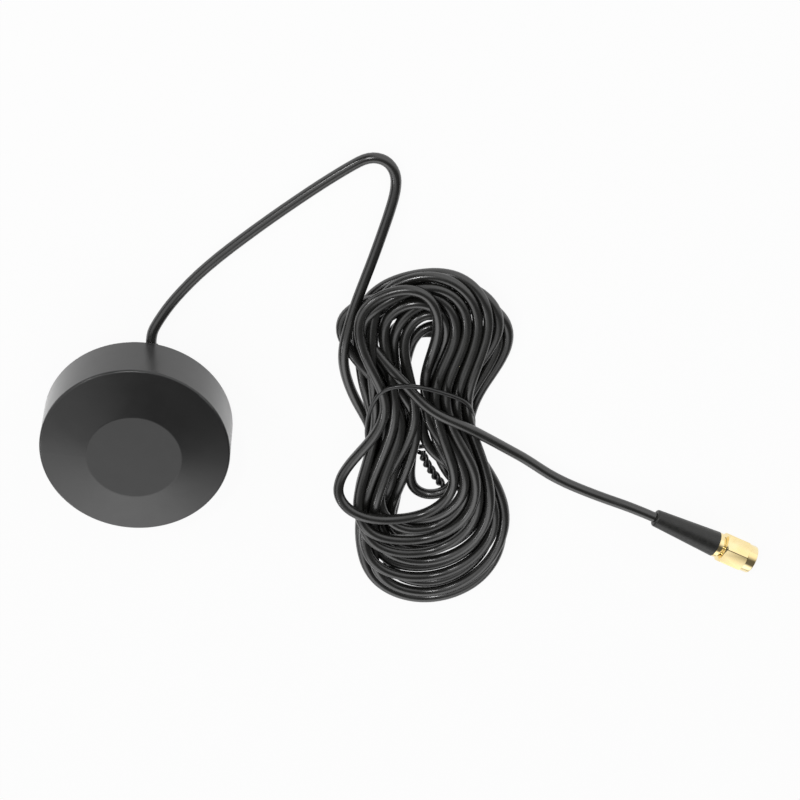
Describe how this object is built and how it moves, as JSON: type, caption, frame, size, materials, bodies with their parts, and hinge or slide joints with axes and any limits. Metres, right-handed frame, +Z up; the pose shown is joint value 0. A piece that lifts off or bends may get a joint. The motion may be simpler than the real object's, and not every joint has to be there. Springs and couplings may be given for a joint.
{
  "type": "gps antenna",
  "caption": "Round puck antenna for satellite positioning with a thin coaxial lead tied in a hank and a threaded gold plug with a spinning nut.",
  "frame": {"origin": "centre of the puck's underside, on the surface that it stands on", "axes": "+Z up along the puck's axis; the lead leaves towards -Y and the plug points away at about 152 degrees from +X"},
  "size_m": [0.1923, 0.1412, 0.0215],
  "materials": {
    "radome_plastic": "fine satin moulded",
    "base_plastic": "matte moulded",
    "seal_rubber": "matte",
    "pad_rubber": "matte, fine texture",
    "nickel_plate": "bright nickel",
    "screw_steel": "bright zinc",
    "board_laminate": "green solder mask",
    "white_tape": "foam",
    "ceramic": "fired ceramic",
    "silver": "fired silver paste",
    "tin": "tinned",
    "chip_black": "moulded epoxy",
    "copper": "bare copper",
    "cable_jacket": "satin soft vinyl",
    "tie_plastic": "satin",
    "boot_rubber": "satin moulded",
    "gold_plate": "bright gold plating",
    "ptfe": "waxy white",
    "spring_bronze": "spring bronze",
    "gasket_silicone": "matte silicone"
  },
  "bodies": {
    "antenna": {"radome": "radome_plastic", "base_plate": "base_plastic", "seal_ring": "seal_rubber", "foot_pad": "pad_rubber", "magnet_disc": "nickel_plate", "base_screws": "screw_steel", "circuit_board": "board_laminate", "board_screws": "screw_steel", "patch_tape": "white_tape", "patch_ceramic": "ceramic", "patch_electrode": "silver", "feed_pin": "tin", "shield_can": "tin", "amplifier_chip": "chip_black", "band_filter": "tin", "chip_components": "ceramic", "solder_joints": "tin", "cable_grommet": "seal_rubber", "cable_entry": "cable_jacket", "cable_braid": "tin", "cable_core": "copper", "cable_lead": "cable_jacket", "cable_hank": "cable_jacket", "cable_tail": "cable_jacket", "twist_tie": "tie_plastic", "connector_boot": "boot_rubber", "crimp_ferrule": "gold_plate", "plug_jacket_end": "cable_jacket", "plug_braid": "tin", "plug_dielectric": "ptfe", "connector_body": "gold_plate", "insulator": "ptfe", "centre_pin": "gold_plate", "snap_ring": "spring_bronze", "sealing_gasket": "gasket_silicone"},
    "nut": {"coupling_nut": "gold_plate"}
  },
  "joints": [
    {"name": "nut_spin", "type": "hinge", "parent": "antenna", "child": "nut", "pos_m": [-0.15534, 0.0405, 0.004], "axis": [-0.8862, 0.4633, 0], "continuous": true}
  ]
}
